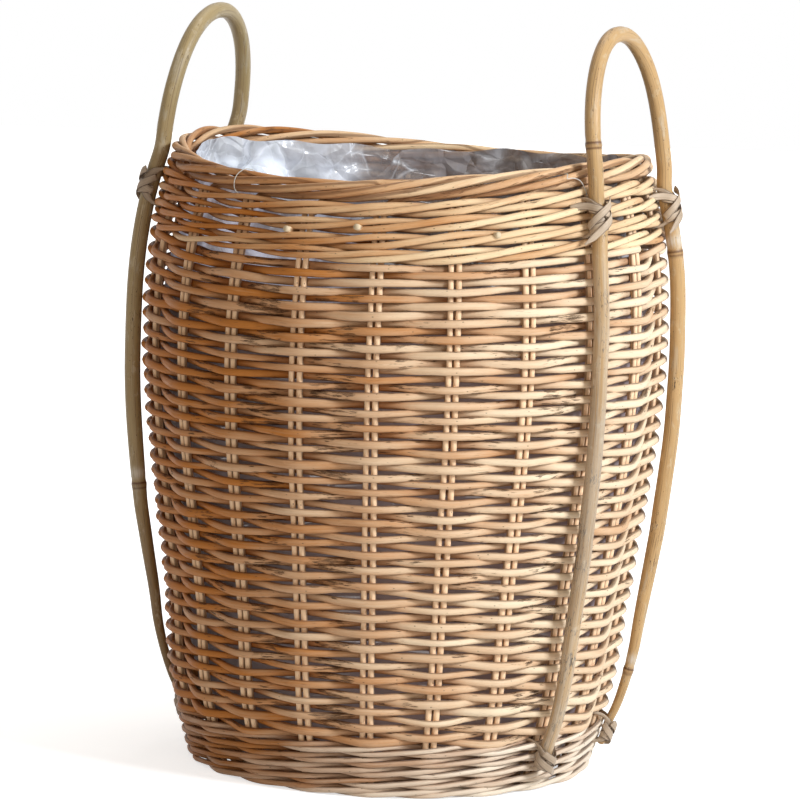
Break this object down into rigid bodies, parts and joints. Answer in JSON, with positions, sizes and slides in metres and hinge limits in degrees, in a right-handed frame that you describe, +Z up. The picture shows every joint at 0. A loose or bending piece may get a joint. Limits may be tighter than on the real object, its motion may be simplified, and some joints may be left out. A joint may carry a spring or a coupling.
{
  "type": "storage basket",
  "caption": "Tall barrel-shaped woven willow storage basket with a rolled rim, a clear liner and two upright cane loop handles lashed to its sides.",
  "frame": {"origin": "on the floor under the middle of the basket's round base", "axes": "+Z up the basket from its base to its handles, -Y towards the viewer in the picture, +X to the viewer's right"},
  "size_m": [0.4397, 0.417, 0.5935],
  "materials": {
    "stake_wood": "satin peeled willow, pale straw brown",
    "rod_wood": "satin willow, honey brown with darker bark streaks",
    "wale_wood": "satin willow, darker honey brown",
    "cane": "smooth round cane with a natural skin",
    "strap": "flat split cane, grey beige",
    "film": "clear crinkled film"
  },
  "bodies": {
    "root": {"base_sticks": "stake_wood", "base_weave": "rod_wood", "stake_01_left": "stake_wood", "stake_01_right": "stake_wood", "stake_02_left": "stake_wood", "stake_02_right": "stake_wood", "stake_03_left": "stake_wood", "stake_03_right": "stake_wood", "stake_04_left": "stake_wood", "stake_04_right": "stake_wood", "stake_05_left": "stake_wood", "stake_05_right": "stake_wood", "stake_06_left": "stake_wood", "stake_06_right": "stake_wood", "stake_07_left": "stake_wood", "stake_07_right": "stake_wood", "stake_08_left": "stake_wood", "stake_08_right": "stake_wood", "stake_09_left": "stake_wood", "stake_09_right": "stake_wood", "stake_10_left": "stake_wood", "stake_10_right": "stake_wood", "stake_11_left": "stake_wood", "stake_11_right": "stake_wood", "stake_12_left": "stake_wood", "stake_12_right": "stake_wood", "stake_13_left": "stake_wood", "stake_13_right": "stake_wood", "stake_14_left": "stake_wood", "stake_14_right": "stake_wood", "stake_15_left": "stake_wood", "stake_15_right": "stake_wood", "stake_16_left": "stake_wood", "stake_16_right": "stake_wood", "stake_17_left": "stake_wood", "stake_17_right": "stake_wood", "stake_18_left": "stake_wood", "stake_18_right": "stake_wood", "stake_19_left": "stake_wood", "stake_19_right": "stake_wood", "stake_20_left": "stake_wood", "stake_20_right": "stake_wood", "stake_21_left": "stake_wood", "stake_21_right": "stake_wood", "foot_wale": "wale_wood", "side_weave": "rod_wood", "top_wale": "wale_wood", "border": "wale_wood", "liner_base": "film", "liner_side": "film", "handle_left": "cane", "lashing_left_back_upper": "strap", "lashing_left_back_lower": "strap", "lashing_left_front_upper": "strap", "lashing_left_front_lower": "strap", "handle_right": "cane", "lashing_right_front_upper": "strap", "lashing_right_front_lower": "strap", "lashing_right_back_upper": "strap", "lashing_right_back_lower": "strap"}
  },
  "joints": []
}
